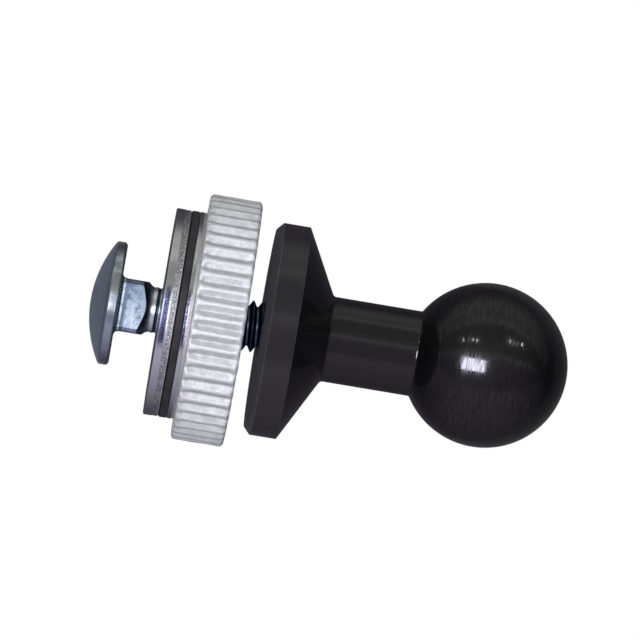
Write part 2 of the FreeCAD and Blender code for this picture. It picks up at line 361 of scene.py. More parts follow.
def zincPlate(look, rimFoot, rimTop, squareLow, coneEnd, threadLow):
    # Bright zinc plate with dull blotches, duller on the dome and blued on the square, with painted shade on
    # the square towards -X, on the rim towards +X, in the square's foot, by the washer and on the thread,
    # and painted light on the shank.
    material, tree, shader, position = newMaterial("zincPlate", metallic=1.0)
    _, height = axisRadius(tree, position)
    sideways = place(tree, "ShaderNodeSeparateXYZ", {0: position}).outputs[0]
    marks = marksOn(tree, position, look["grain"])
    slow = marksOn(tree, position, look["slowGrain"])
    broad = calc(tree, "MULTIPLY", slow["Blotches"], look["slowShare"])
    dull = smoothStep(tree, calc(tree, "ADD", marks["Blotches"], broad), *look["dullBlotches"])
    spots = scaled(tree, marks["Specks"], -look["squareSpots"], look["squareSpots"])
    mottle = calc(tree, "ADD", calc(tree, "MULTIPLY", dull, look["squareMottle"]), spots)
    # Painted shade: the square darkens towards -X, over its blued mottling.
    shade = calc(tree, "MULTIPLY", smoothStep(tree, sideways, *look["squareSides"]), look["squareShade"])
    bluedAndShaded = mixColor(tree, calc(tree, "ADD", mottle, shade), look["squareColor"], look["squareDullColor"])
    # Painted shade on the rim's side towards +X.
    rimShadeMask = calc(tree, "MULTIPLY", fade(tree, height, rimTop, look["rimFade"]),
                 smoothStep(tree, sideways, *look["rimShadeSides"]))
    onShank = fade(tree, height, coneEnd, look["shankFade"])
    dome = fade(tree, height, rimFoot, look["domeFade"])
    stained = mixColor(tree, slow["Blotches"], look["domeColor"], look["domeDullColor"])
    color = layered(tree, look["color"], (
        (dull, look["dullColor"]),
        (zone(tree, height, squareLow, coneEnd, look["squareZone"]), bluedAndShaded),
        (rimShadeMask, look["rimShadeColor"]),
        # Painted shade in the square's foot.
        (zone(tree, height, squareLow, squareLow, look["creaseShadeZone"]), look["creaseShadeColor"]),
        # Painted light on the shank.
        (onShank, look["shankLitColor"]),
        # Painted shade in the run-out by the washer.
        (zone(tree, height, coneEnd, coneEnd, look["runOutShadeZone"]), look["runOutShadeColor"]),
        # Painted shade on the thread.
        (fade(tree, height, threadLow, look["threadShadeFade"]), look["threadShadeColor"]),
        (dome, stained)))
    rough = scaled(tree, dull, look["roughness"], look["dullRoughness"])
    for mask, amount in ((dome, look["domeRoughness"]), (onShank, look["shankRoughness"])):
        rough = calc(tree, "MAXIMUM", rough, calc(tree, "MULTIPLY", mask, amount))
    # The fillet under the head is smooth.
    strength = scaled(tree, zone(tree, height, rimTop, squareLow, look["calmZone"]), 1.0, 0.0)
    normal = None
    for pattern, depth in ((slow["Blotches"], look["slowDepth"]), (marks["Blotches"], look["blotchDepth"]),
                           (marks["Specks"], look["speckDepth"])):
        normal = bump(tree, pattern, depth, strength, normal)
    feed(tree, shader, {"Base Color": color, "Roughness": rough, "Normal": normal})
    return material


edgeFinish = {
    "color": (0.535, 0.575, 0.57),
    "roughColor": (0.27, 0.28, 0.285),
    "brightColor": (0.86, 0.86, 0.88),
    "violetReflectionColor": (0.060, 0.068, 0.140),
    "lavenderReflectionColor": (0.27, 0.29, 0.41),
    "roughness": 0.22,
    "tornRoughness": 0.42,
    "grain": inMm(0.17, 1.6),
    "streakGrain": inMm(0.34, 1.9),
    "streakShape": (1, 1, 1.6),      # finer along the axis, so that the streaks run round the rim
    "glintSpecks": (0.53, 0.62),     # the grain's values where a glint starts and is full
    "violetSpecks": (0.31, 0.50),
    "violetSide": (0.04, -0.999, 0.0),
    "frontShares": (0.945, 0.985),   # of the radius, where the painted reflections start and are full towards that side
    "violetShares": (0.13, 0.20, 0.42, 0.50),    # of the height, where it starts, is full, fades and ends
    "outsideFade": inMm(-0.45, -0.25),   # from the rim
    "tornFade": inMm(-0.05, 0.10),   # from the smooth band's end
    "streakDepth": 0.014 * mm,
    "tornDepth": 0.09 * mm,
    "smoothGrit": 0.10,              # how rough the smooth band is, beside the torn one
    "wearAndHighlightWidth": 0.26 * mm,
    "wearAndHighlightPatchiness": 0.8,
    "wearAndHighlightAmount": 0.8,
}
# The thin washer's torn band is painted lighter: painted light.
thinLitEdgeFinish = dict(edgeFinish, roughColor=(0.55, 0.57, 0.56), violetShares=(0.07, 0.13, 0.64, 0.74))


def punchedZinc(name, look, low, high, radius, burnishedHeight):
    # A punched edge: a smooth streaky band, a torn band over it with painted glints, bright rolled corners
    # that are partly worn and partly painted highlight, and painted violet and lavender reflections on one
    # side.
    material, tree, shader, position = newMaterial(name, metallic=1.0)
    reach, height = axisRadius(tree, position)
    smoothEnd = low + burnishedHeight
    marks = marksOn(tree, position, look["grain"])
    streaks = marksOn(tree, stretched(tree, position, look["streakShape"]), look["streakGrain"])
    outside = fade(tree, reach, radius, look["outsideFade"])
    torn = calc(tree, "MULTIPLY", fade(tree, height, smoothEnd, look["tornFade"]), outside)
    smooth = calc(tree, "SUBTRACT", 1.0, torn)
    # Painted glints: bright specks on the torn band.
    glints = smoothStep(tree, marks["Specks"], *look["glintSpecks"])
    # Painted violet and lavender reflections, on the side towards -Y alone.
    facing = place(tree, "ShaderNodeVectorMath", {0: position, 1: look["violetSide"]},
                   operation="DOT_PRODUCT").outputs["Value"]
    front = smoothStep(tree, facing, *[radius * share for share in look["frontShares"]])
    band = zone(tree, height, low, low, [(high - low) * share for share in look["violetShares"]])
    violet = calc(tree, "MULTIPLY", calc(tree, "MULTIPLY", front, band),
                  smoothStep(tree, streaks["Specks"], *look["violetSpecks"]))
    # Bright rings: the rolled corners, partly worn and partly painted highlight, and a painted highlight
    # along the smooth band's end on the -Y side.
    wearAndHighlight = edgeWearAndHighlight(tree, position, look["wearAndHighlightWidth"],
                    [(radius, ringHeight, look["wearAndHighlightPatchiness"], amount)
                     for ringHeight, amount in ((low, 1.0), (high, 1.0), (smoothEnd, front))])
    color = layered(tree, look["color"], (
        (torn, look["roughColor"]),
        (calc(tree, "MULTIPLY", glints, torn), look["brightColor"]),
        (calc(tree, "MULTIPLY", front, smooth), look["lavenderReflectionColor"]),
        (violet, look["violetReflectionColor"]),
        (calc(tree, "MULTIPLY", wearAndHighlight, look["wearAndHighlightAmount"]), look["brightColor"])))
    rough = scaled(tree, torn, look["roughness"], look["tornRoughness"])
    uneven = bump(tree, calc(tree, "MULTIPLY", streaks["Specks"], outside), look["streakDepth"])
    gritty = calc(tree, "MULTIPLY", marks["Specks"], calc(tree, "ADD", torn, look["smoothGrit"]))
    grit = bump(tree, gritty, look["tornDepth"], normal=uneven)
    feed(tree, shader, {"Base Color": color, "Roughness": rough, "Normal": grit})
    return material


rubberFinish = {
    "color": (0.017, 0.016, 0.018),
    "greyColor": (0.036, 0.035, 0.040),
    # painted shade in the rolled corners
    "cornerShadeColor": (0.003, 0.003, 0.003),
    "specular": 0.45,
    "roughness": (0.36, 0.58),       # at the specks' lowest and highest values
    "grain": inMm(0.25, 2.2),
    "gritDepth": 0.02 * mm,
    "cornerShadeFade": inMm(-0.01, -0.06),    # painted shade, from the rim
}


def cutRubber(look, radius):
    # Black rubber with a cut edge, with painted shade in its rolled corners.
    material, tree, shader, position = newMaterial("cutRubber", metallic=0.0, specular=look["specular"])
    reach, _ = axisRadius(tree, position)
    marks = marksOn(tree, position, look["grain"])
    color = layered(tree, look["color"], (
        (marks["Blotches"], look["greyColor"]),
        (fade(tree, reach, radius, look["cornerShadeFade"]), look["cornerShadeColor"])))
    rough = scaled(tree, marks["Specks"], *look["roughness"])
    grit = bump(tree, marks["Specks"], look["gritDepth"])
    feed(tree, shader, {"Base Color": color, "Roughness": rough, "Normal": grit})
    return material


aluminiumFinish = {
    "color": (0.455, 0.462, 0.485),
    "dullColor": (0.33, 0.335, 0.358),
    # painted highlight: the lands are painted lighter
    "landHighlightColor": (0.455, 0.46, 0.48),
    "faceLitColor": (0.46, 0.46, 0.48),     # painted light, on the face towards the washers
    "endShadeColor": (0.31, 0.35, 0.39),      # painted shade, beside the flange
    "metallic": 0.60,
    "roughness": 0.72,
    "roughnessSpread": (-0.20, 0.12),    # at the specks' lowest and highest values
    "grain": inMm(0.32, 1.2),
    "blotchShare": 0.6,              # of the blotches and the specks in the dull places
    "speckShare": 0.5,
    "landHighlightFade": inMm(-0.10, -0.02),  # painted highlight, from the lands' radius
    "faceLightFade": inMm(0.16, 0.04),    # painted light, from the face
    "endShadeFade": inMm(-0.55, -0.10),   # painted shade, from the flange, along the axis
    "endShadeReach": inMm(-1.1, -0.7),    # from the lands' radius
    "dentDepth": 0.035 * mm,
    "gritDepth": 0.02 * mm,
}


def tumbledAluminium(look, radius, low, high):
    # Soft mottling, a painted highlight on the lands, painted light on the face below and painted shade on
    # the edge above.
    material, tree, shader, position = newMaterial("tumbledAluminium", metallic=look["metallic"],
                                                   roughness=look["roughness"])
    reach, height = axisRadius(tree, position)
    marks = marksOn(tree, position, look["grain"])
    uneven = calc(tree, "ADD", calc(tree, "MULTIPLY", marks["Blotches"], look["blotchShare"]),
                  calc(tree, "MULTIPLY", marks["Specks"], look["speckShare"]))
    # Painted shade on the edge beside the flange.
    endShadeMask = calc(tree, "MULTIPLY", fade(tree, height, high, look["endShadeFade"]),
                 fade(tree, reach, radius, look["endShadeReach"]))
    color = layered(tree, look["color"], (
        (uneven, look["dullColor"]),
        (fade(tree, reach, radius, look["landHighlightFade"]), look["landHighlightColor"]),
        # Painted light on the face towards the washers.
        (fade(tree, height, low, look["faceLightFade"]), look["faceLitColor"]),
        (endShadeMask, look["endShadeColor"])))
    rough = scaled(tree, marks["Specks"], *[look["roughness"] + part for part in look["roughnessSpread"]])
    dents = bump(tree, marks["Blotches"], look["dentDepth"])
    grit = bump(tree, marks["Specks"], look["gritDepth"], normal=dents)
    feed(tree, shader, {"Base Color": color, "Roughness": rough, "Normal": grit})
    return material


# Mesh helpers: rings of points round the bolt's axis, joined into a closed skin.

def ringPoint(radius, angle, height):
    return Vector((radius * math.cos(angle), radius * math.sin(angle), height))


def plainRing(radius, height, segments):
    # A ring of radius 0 is a pole, one point.
    count = segments if radius > 0 else 1
    return [ringPoint(radius, math.tau * i / segments, height) for i in range(count)]


def outlineRings(outline, segments):
    return [plainRing(radius, height, segments) for radius, height in outline]


def skinRings(rings, closed):
    # Quads between neighbouring rings, and triangles round a pole.
    points, faces, starts = [], [], []
    for ring in rings:
        starts.append(len(points))
        points += ring
    count = len(rings)
    for k in range(count if closed else count - 1):
        below, above = rings[k], rings[(k + 1) % count]
        low, high = starts[k], starts[(k + 1) % count]
        segments = max(len(below), len(above))
        for i in range(segments):
            j = (i + 1) % segments
            if len(below) == 1:
                faces.append((low, high + j, high + i))
            elif len(above) == 1:
                faces.append((low + i, low + j, high))
            else:
                faces.append((low + i, low + j, high + j, high + i))
    return points, faces


def newObject(name, points, faces):
    mesh = bpy.data.meshes.new(name)
    mesh.from_pydata(points, [], faces)
    thing = bpy.data.objects.new(name, mesh)
    bpy.context.scene.collection.objects.link(thing)
    return thing


def addPiece(name, points, faces, body, nodes, material, sharpAngle=40):
    finishPiece(newObject(name, points, faces), body, nodes, material, sharpAngle)


def finishPiece(piece, body, nodes, material, sharpAngle):
    mesh = piece.data
    mesh.validate()
    mesh.shade_smooth()
    mesh.set_sharp_from_angle(angle=math.radians(sharpAngle))
    mesh.materials.clear()
    mesh.materials.append(material)
    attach(piece, body)
    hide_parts(*nodes)
    print(piece.name, len(mesh.polygons), "faces")


def arcPoints(centreRadius, centreHeight, radius, startDegrees, endDegrees, steps):
    # Points (radius, height) along an arc in the half plane beside the axis.
    points = []
    for i in range(steps + 1):
        angle = math.radians(startDegrees + (endDegrees - startDegrees) * i / steps)
        points.append((centreRadius + radius * math.cos(angle), centreHeight + radius * math.sin(angle)))
    return points


# Geometry Nodes: one tree repeats a piece by a turn and a rise, for the nut's flutes and the threads.

def repeatTree():
    tree = bpy.data.node_groups.new("repeatPiece", "GeometryNodeTree")
    sockets = tree.interface
    sockets.new_socket("Geometry", in_out="INPUT", socket_type="NodeSocketGeometry")
    sockets.new_socket("Count", in_out="INPUT", socket_type="NodeSocketInt")
    for label in ("Turn", "Rise", "Weld"):
        sockets.new_socket(label, in_out="INPUT", socket_type="NodeSocketFloat")
    sockets.new_socket("Finish", in_out="INPUT", socket_type="NodeSocketMaterial")
    sockets.new_socket("Geometry", in_out="OUTPUT", socket_type="NodeSocketGeometry")
    given = place(tree, "NodeGroupInput").outputs
    index = place(tree, "GeometryNodeInputIndex").outputs[0]
    rise = calc(tree, "MULTIPLY", index, given["Rise"])
    lift = place(tree, "ShaderNodeCombineXYZ", {2: rise}).outputs[0]
    spots = place(tree, "GeometryNodePoints", {"Count": given["Count"], "Position": lift}).outputs[0]
    angle = calc(tree, "MULTIPLY", index, given["Turn"])
    angles = place(tree, "ShaderNodeCombineXYZ", {2: angle}).outputs[0]
    turn = place(tree, "FunctionNodeEulerToRotation", {0: angles}).outputs[0]
    copies = place(tree, "GeometryNodeInstanceOnPoints",
                   {"Points": spots, "Instance": given["Geometry"], "Rotation": turn}).outputs[0]
    real = place(tree, "GeometryNodeRealizeInstances", {0: copies}).outputs[0]
    welded = place(tree, "GeometryNodeMergeByDistance",
                   {"Geometry": real, "Distance": given["Weld"]}).outputs[0]
    finished = place(tree, "GeometryNodeSetMaterial",
                     {"Geometry": welded, "Material": given["Finish"]}).outputs[0]
    place(tree, "NodeGroupOutput", {0: finished})
    return tree


repeatPiece = repeatTree()
weldGap = 0.002 * mm


def repeated(name, points, faces, count, turn, rise, material):
    # Makes the plain mesh of the repeated piece, with the modifier gone.
    piece = newObject(name, points, faces)
    modifier = piece.modifiers.new("repeat", "NODES")
    modifier.node_group = repeatPiece
    values = {"Count": count, "Turn": turn, "Rise": rise, "Weld": weldGap, "Finish": material}
    for item in repeatPiece.interface.items_tree:
        if item.in_out == "INPUT" and item.name in values:
            modifier[item.identifier] = values[item.name]
    depsgraph = bpy.context.evaluated_depsgraph_get()
    result = bpy.data.meshes.new_from_object(piece.evaluated_get(depsgraph))
    piece.modifiers.clear()
    piece.data = result
    return piece


def closeEnds(mesh):
    # Fills the two open ends of a coil.
    work = bmesh.new()
    work.from_mesh(mesh)
    bmesh.ops.holes_fill(work, edges=[edge for edge in work.edges if edge.is_boundary], sides=0)
    bmesh.ops.recalc_face_normals(work, faces=work.faces)
    work.to_mesh(mesh)
    work.free()


def helixCoil(name, section, start, turns, segments, material):
    # A closed helical ridge. section holds (radius, rise) corners, start the height of its first crest.
    pitch = thread["pitch"]
    points, faces = [], []
    corners = len(section)
    for i in range(segments + 1):
        angle = math.tau * i / segments
        lift = start + pitch * i / segments
        points += [ringPoint(radius, angle, lift + rise) for radius, rise in section]
    for i in range(segments):
        for k in range(corners):
            n = (k + 1) % corners
            faces.append((i * corners + k, (i + 1) * corners + k, (i + 1) * corners + n, i * corners + n))
    coil = repeated(name, points, faces, turns, 0.0, pitch, material)
    closeEnds(coil.data)
    return coil


# Carriage bolt
boltLow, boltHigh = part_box("carriage_bolt")
washerLow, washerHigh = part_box("track_washer")
rubberLow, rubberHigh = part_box("rubber_washer")
nutWasherLow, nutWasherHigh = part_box("nut_washer")
nutLow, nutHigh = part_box("thumb_nut")

bolt = {
    "segments": 320,
    "headHeight": 4.3 * mm,
    "rimHeight": 1.6 * mm,
    "rimRound": 0.60 * mm,
    "domeRound": 0.50 * mm,
    "domeRoundStart": -58,           # degrees, where the round takes over from the dome
    "roundRiseShare": 0.56,          # of the round, from the rim's foot up to its centre
    "domeStopShare": 0.55,           # of the round, from the rim in to where the dome stops
    "squareWidth": 8.2 * mm,
    "cornerRound": 0.8 * mm,
    "squareHeight": 3.4 * mm,
    "coneHeight": 1.80 * mm,
    "coneHollow": 1.8,               # 1 is a straight cone, more is hollower
    "fillet": 0.80 * mm,             # height of the foot below the square, and its spread
    "filletSpread": 0.75 * mm,
    "creaseRound": 0.15 * mm,
    "shankRadius": 3.475 * mm,
    "shankBelowNut": 3.0 * mm,       # how far below the nut the plain shank ends
    "rootRadius": 3.10 * mm,
    "coreInset": 0.1 * mm,           # how far inside the thread's end the core ends
    "threadShadeInset": 0.3 * mm,           # how far inside the nut the thread's painted shade starts
}
thread = {
    "pitch": 1.411 * mm,
    "crestRadius": 3.97 * mm,
    "crestWidth": 0.18 * mm,
    "crestRound": 0.05 * mm,
    "crestShares": (0.6, 0.3, 0.4),  # of that round down the flank and in, and of the crest's half width
    "sink": 0.05 * mm,               # how deep a ridge stands in its core
    "innerRoot": 4.11 * mm,          # of the ridges in the nut and the post
    "innerCrest": 3.27 * mm,
    "innerWidth": 0.24 * mm,
    "flank": math.radians(30),
    "segments": 120,
}
coilSharpAngle = 50
headTop = boltLow.z + bolt["headHeight"]
rimLow = headTop - bolt["rimHeight"]
squareFoot = headTop + bolt["fillet"]
coneEnd = headTop + bolt["squareHeight"] + bolt["coneHeight"]
shankTop = nutLow.z - bolt["shankBelowNut"]

# The foot under the head curves in to a smooth bead, then steps down to the square: height and spread.
footShares = ((0, 1), (0.01, 0.84), (0.05, 0.66), (0.12, 0.48), (0.20, 0.34), (0.28, 0.245), (0.36, 0.18),
              (0.44, 0.14), (0.52, 0.12), (0.60, 0.11), (0.70, 0.10), (0.80, 0.08), (0.88, 0.05),
              (0.94, 0.022), (1, 0))
underHeadShares = (0.15, 0.4, 0.7, 0.93)
sideShares = (0.2, 0.45, 0.7, 0.88, 0.94, 0.97, 1.0)
coneShares = (0.04, 0.09, 0.18, 0.4, 0.65, 0.85, 1.0)
# The thread's run-out swells and dips between the cone and the washer: height and radius.
runOutShares = ((0.05, 1.000), (0.11, 1.006), (0.18, 1.014), (0.28, 1.020), (0.38, 1.020), (0.46, 1.012),
                (0.54, 0.998), (0.62, 0.990), (0.70, 0.988), (0.78, 0.992), (0.84, 1.004), (0.89, 1.012),
                (0.96, 1.014), (1.05, 1.0), (1.2, 1.0))


def squareRadius(size, angle, spread=0.0):
    # How far the square with rounded corners, widened by a spread, reaches from the axis at one angle.
    half = size["squareWidth"] / 2 + spread
    corner = size["cornerRound"] + spread
    turn = abs((angle + math.pi / 4) % (math.pi / 2) - math.pi / 4)
    cornerCentre = half - corner
    if turn <= math.atan2(cornerCentre, half):
        return half / math.cos(turn)
    reach = cornerCentre * math.sqrt(2)
    off = turn - math.pi / 4
    return reach * math.cos(off) + math.sqrt(corner ** 2 - (reach * math.sin(off)) ** 2)


def softLower(first, second, blend):
    # The lower of two lengths, with a rounded crease.
    gap = max(blend - abs(first - second), 0) / blend
    return min(first, second) - gap * gap * blend / 4


def headOutline(size):
    # (radius, height) from the dome's pole round the rim to the flat under the head.
    domeHeight = rimLow - boltLow.z
    domeRadius = (boltHigh.x ** 2 + domeHeight ** 2) / (2 * domeHeight)
    domeAngle = math.degrees(math.asin(boltHigh.x / domeRadius))
    soft, edge = size["domeRound"], size["rimRound"]
    dome = arcPoints(0, boltLow.z + domeRadius, domeRadius, -90, -90 + domeAngle, steps=40)[1:]
    stop = boltHigh.x - soft * size["domeStopShare"]
    outline = [(0, boltLow.z)] + [point for point in dome if point[0] < stop]
    outline += arcPoints(boltHigh.x - soft, rimLow + soft * size["roundRiseShare"], soft,
                         size["domeRoundStart"], 0, steps=8)
    return outline + arcPoints(boltHigh.x - edge, headTop - edge, edge, 0, 90, steps=8)


def footRings(size, angles):
    edge, widest = boltHigh.x - size["rimRound"], size["filletSpread"]
    rings = []
    for share in underHeadShares:
        rings.append([ringPoint(edge + (squareRadius(size, angle, widest) - edge) * share, angle, headTop)
                      for angle in angles])
    for heightShare, spreadShare in footShares:
        rings.append([ringPoint(squareRadius(size, angle, widest * spreadShare), angle,
                                headTop + size["fillet"] * heightShare) for angle in angles])
    return rings


def squareRings(size, angles):
    # The square's side and the hollow cone over it, which meet in a rounded crease.
    shank, coneHeight, hollow = size["shankRadius"], size["coneHeight"], size["coneHollow"]
    spread = squareRadius(size, math.pi / 4) - shank
    reach = [squareRadius(size, angle) for angle in angles]
    crease = [coneEnd - coneHeight * ((r - shank) / spread) ** (1 / hollow) for r in reach]
    rows = [[squareFoot + (z - squareFoot) * share for z in crease] for share in sideShares]
    rows += [[z + (coneEnd - z) * share for z in crease] for share in coneShares]
    rings = []
    for row in rows:
        cone = [shank + spread * ((coneEnd - z) / coneHeight) ** hollow for z in row]
        rings.append([ringPoint(softLower(r, c, size["creaseRound"]), angle, z)
                      for r, c, angle, z in zip(reach, cone, angles, row)])
    return rings


def shankOutline(size):
    shank, root = size["shankRadius"], size["rootRadius"]
    visible = washerLow.z - coneEnd
    outline = [(shank * radiusShare, coneEnd + visible * heightShare)
               for heightShare, radiusShare in runOutShares]
    outline += [(shank, shankTop), (root, shankTop + shank - root)]
    return outline + [(root, boltHigh.z - size["coreInset"]), (0, boltHigh.z - size["coreInset"])]


def boltRings(size):
    angles = [math.tau * i / size["segments"] for i in range(size["segments"])]
    return (outlineRings(headOutline(size), size["segments"]) + footRings(size, angles)
            + squareRings(size, angles) + outlineRings(shankOutline(size), size["segments"]))


def boltSection():
    # The ridge's section, sunk a little into the core, with a rounded crest.
    crest, half, soft = thread["crestRadius"], thread["crestWidth"] / 2, thread["crestRound"]
    inner = bolt["rootRadius"] - thread["sink"]
    base = half + (crest - inner) * math.tan(thread["flank"])
    down, inward, flat = thread["crestShares"]
    side = [(inner, base), (crest - soft, half + soft * down), (crest - soft * inward, half),
            (crest, half * flat)]
    return [(radius, -rise) for radius, rise in side] + side[::-1]


zinc = zincPlate(zincFinish, rimLow, headTop, squareFoot, coneEnd, nutHigh.z - bolt["threadShadeInset"])
points, faces = skinRings(boltRings(bolt), closed=False)
addPiece("bolt_body", points, faces, "post_and_bolt", ["carriage_bolt"], zinc, sharpAngle=35)
turns = math.floor((boltHigh.z - shankTop) / thread["pitch"]) - 1
coil = helixCoil("bolt_thread", boltSection(), boltHigh.z - (turns + 1) * thread["pitch"], turns,
                 thread["segments"], zinc)
finishPiece(coil, "post_and_bolt", ["carriage_bolt"], zinc, coilSharpAngle)
print("bolt made")

# Washers
washer = {
    "segments": 640,
    "bore": 4.365 * mm,
    "rollRound": 0.26 * mm,          # the corner that the punch rolls over
    "burrRound": 0.10 * mm,
    "burnishedShare": 0.56,
    "faceShares": (0.6, 0.9),        # of the radius, where a flat face has its rings
    "burnishedShares": (0.4, 0.8, 1.0),
    "tornRows": 7,
    "tearDepth": 0.05 * mm,
    "grit": 0.030 * mm,
    "gritSize": 0.32 * mm,
}
rubberWasher = dict(washer, rollRound=0.42 * mm, burrRound=0.12 * mm, burnishedShare=0.5)
washerRadius = washerHigh.x


def roughened(ring, size):
    # Presses the ring's points in by uneven amounts.
    return [p - Vector((p.x, p.y, 0)).normalized() * size["grit"] * abs(noise.noise(p / size["gritSize"]))
            for p in ring]


def washerRings(size, low, high, radius, torn):
    roll, burr, rows = size["rollRound"], size["burrRound"], size["tornRows"]
    smoothEnd = low + (high - low) * size["burnishedShare"]
    edge = radius - (size["tearDepth"] if torn else 0)
    onFace = [radius * share for share in size["faceShares"]]
    outline = [(size["bore"] + burr, low)] + [(r, low) for r in onFace]
    outline += arcPoints(radius - roll, low + roll, roll, -90, 0, steps=6)
    outline += [(radius, low + roll + (smoothEnd - low - roll) * share) for share in size["burnishedShares"]]
    outline += [(edge, smoothEnd + (high - burr - smoothEnd) * (i + 0.5) / rows) for i in range(rows)]
    outline += arcPoints(edge - burr, high - burr, burr, 0, 90, steps=3)
    outline += [(r, high) for r in reversed(onFace)] + [(size["bore"] + burr, high)]
    outline += [(size["bore"], high - burr), (size["bore"], low + burr)]
    rings = outlineRings(outline, size["segments"])
    rough = [torn and r > onFace[-1] and z > smoothEnd for r, z in outline]
    return [roughened(ring, size) if uneven else ring for ring, uneven in zip(rings, rough)]


for node, low, high, look in (("track_washer", washerLow.z, washerHigh.z, edgeFinish),
                              ("nut_washer", nutWasherLow.z, nutWasherHigh.z, thinLitEdgeFinish)):
    burnished = (high - low) * washer["burnishedShare"]
    steel = punchedZinc(node + "_zinc", look, low, high, washerRadius, burnished)
    points, faces = skinRings(washerRings(washer, low, high, washerRadius, True), closed=True)
    addPiece(node + "_steel", points, faces, node, [node], steel)

rubberRings = washerRings(rubberWasher, rubberLow.z, rubberHigh.z, washerRadius, False)
points, faces = skinRings(rubberRings, closed=True)
addPiece("rubber_disc", points, faces, "rubber_washer", ["rubber_washer"],
         cutRubber(rubberFinish, washerRadius))
print("washers made")

# Thumb nut: one flute's sector, repeated round the axis
nut = {
    "flutes": 52,
    "radius": 19.05 * mm,            # over the lands
    "cornerRound": 0.60 * mm,
    "landWidth": 0.44 * mm,          # between two flutes, at mid-length
    "fluteDepth": 0.58 * mm,
    "bottomRound": 0.16,             # 0 is a sharp V
    "washerMargin": 0.08 * mm,       # from the end face to the flutes
    "flangeMargin": 0.04 * mm,
    "endTaper": 1.8 * mm,            # over which a flute narrows at the washer
    "endWidthShare": 0.72,
    "flangeTaper": 0.9 * mm,         # and at the flange
    "flangeWidthShare": 0.86,
    "leastWidth": 0.16 * mm,
    "endRound": 0.45 * mm,           # of the corners of a flute's blunt end
    "endRise": 1.3 * mm,             # over which its bottom rises to a low step
    "endStepShare": 0.25,
    "unevenness": 0.052 * mm,        # of the tumbled outside
    "unevenSize": 1.4 * mm,
    "unevenSeed": 3,
    "unevenStartShare": 0.93,        # of the radius, where it starts, and over which it grows
    "unevenGrowShare": 0.04,
    "bossRadius": 14.9 * mm,
    "bossHeight": 0.03 * mm,
    "bossShares": (1.03, 0.6),       # of its radius, for the rings beside its edge
    "bore": 4.05 * mm,
    "mouth": 4.32 * mm,
    "threadStart": 0.62 * mm,        # from the washers' side to the first crest, at least
    "threadMargins": 0.9 * mm,       # of both faces together
}
halfFluteShares = (0.12, 0.24, 0.38, 0.55, 0.72, 0.86, 0.95, 1)
fluteShares = [-share for share in reversed(halfFluteShares)] + [0] + list(halfFluteShares)
endShares = (0, 0.02, 0.06, 0.12, 0.20, 0.28, 0.36, 0.44, 0.52, 0.64, 0.80, 1)
middleShares = (0.15, 0.3, 0.45, 0.6, 0.75, 0.9)
flangeShares = (0, 0.04, 0.15, 0.4, 0.7)
washerShares = (0.75, 0.5, 0.28, 0.12, 0.03, 0)
topShares = (0.5, 0.75, 0.9)


def endDistance(size, height):
    # How far inside the flutes' nearer end this height lies, below 0 outside them.
    return min(height - nutRimLow - size["washerMargin"], nutHigh.z - size["flangeMargin"] - height)


def cornerDrop(inset, corner):
    # How far a rounded corner lies inside its cylinder, at one distance from the end face.
    left = max(corner - inset, 0)
    return corner - math.sqrt(corner ** 2 - left ** 2)


def sectorColumns(size, height):
    # Angle and depth of each column, from one land's middle over a flute to the next land's middle.
    pitchAngle = math.tau / size["flutes"]
    full = (pitchAngle * size["radius"] - size["landWidth"]) / 2
    inside = max(endDistance(size, height), 0)
    end = "end" if height < (nutRimLow + nutHigh.z) / 2 else "flange"
    taper = min(inside / size[end + "Taper"], 1)
    half = full * (size[end + "WidthShare"] + (1 - size[end + "WidthShare"]) * taper)
    half = max(half - cornerDrop(inside, size["endRound"]), size["leastWidth"] / 2) / size["radius"]
    rise = min(inside / size["endRise"], 1)
    step = size["endStepShare"] if inside > 0 else 0
    depth = size["fluteDepth"] * (step + (1 - step) * math.sin(rise * math.pi / 2))
    bend = size["bottomRound"]
    columns = [(0, 0)]
    for share in fluteShares:
        wall = (math.hypot(share, bend) - bend) / (math.hypot(1, bend) - bend)
        columns.append((pitchAngle / 2 + share * half, depth * (1 - wall)))
    return columns + [(pitchAngle, 0)]


def nutRows(size):
    # (height, radius) from the bore's top round the outside to its foot, with no radius on the fluted side.
    mouthDepth = size["mouth"] - size["bore"]
    rows = [(nutHigh.z - mouthDepth, size["bore"]), (nutHigh.z, size["mouth"])]
    rows += [(nutHigh.z, size["radius"] * share) for share in topShares]
    endLength = size["endTaper"]
    top, foot = nutHigh.z - size["flangeMargin"], nutRimLow + size["washerMargin"]
    rows += [(nutHigh.z - size["flangeMargin"] * share, None) for share in flangeShares]
    rows += [(top - endLength * share, None) for share in endShares]
    rows += [(top - endLength + (foot - top + 2 * endLength) * share, None) for share in middleShares]
    rows += [(foot + endLength * share, None) for share in reversed(endShares)]
    rows += [(nutRimLow + size["washerMargin"] * share, None) for share in washerShares]
    boss = size["bossRadius"]
    beside, within = [boss * share for share in size["bossShares"]]
    rows += [(nutRimLow, beside), (nutRimLow, boss), (nutLow.z, boss), (nutLow.z, within)]
    rows += [(nutLow.z, size["mouth"])]
    return rows + [(nutLow.z + mouthDepth, size["bore"])]


def nutSector(size):
    rows = nutRows(size)
    points, faces = [], []
    columns = len(sectorColumns(size, nutHigh.z))
    for height, radius in rows:
        inset = min(nutHigh.z - height, height - nutRimLow)
        for angle, depth in sectorColumns(size, height):
            reach = radius or size["radius"] - cornerDrop(max(inset, 0), size["cornerRound"]) - depth
            points.append(ringPoint(reach, angle, height))
    for row in range(len(rows)):
        below, above = (row + 1) % len(rows) * columns, row * columns
        for i in range(columns - 1):
            faces.append((below + i, below + i + 1, above + i + 1, above + i))
    return points, faces


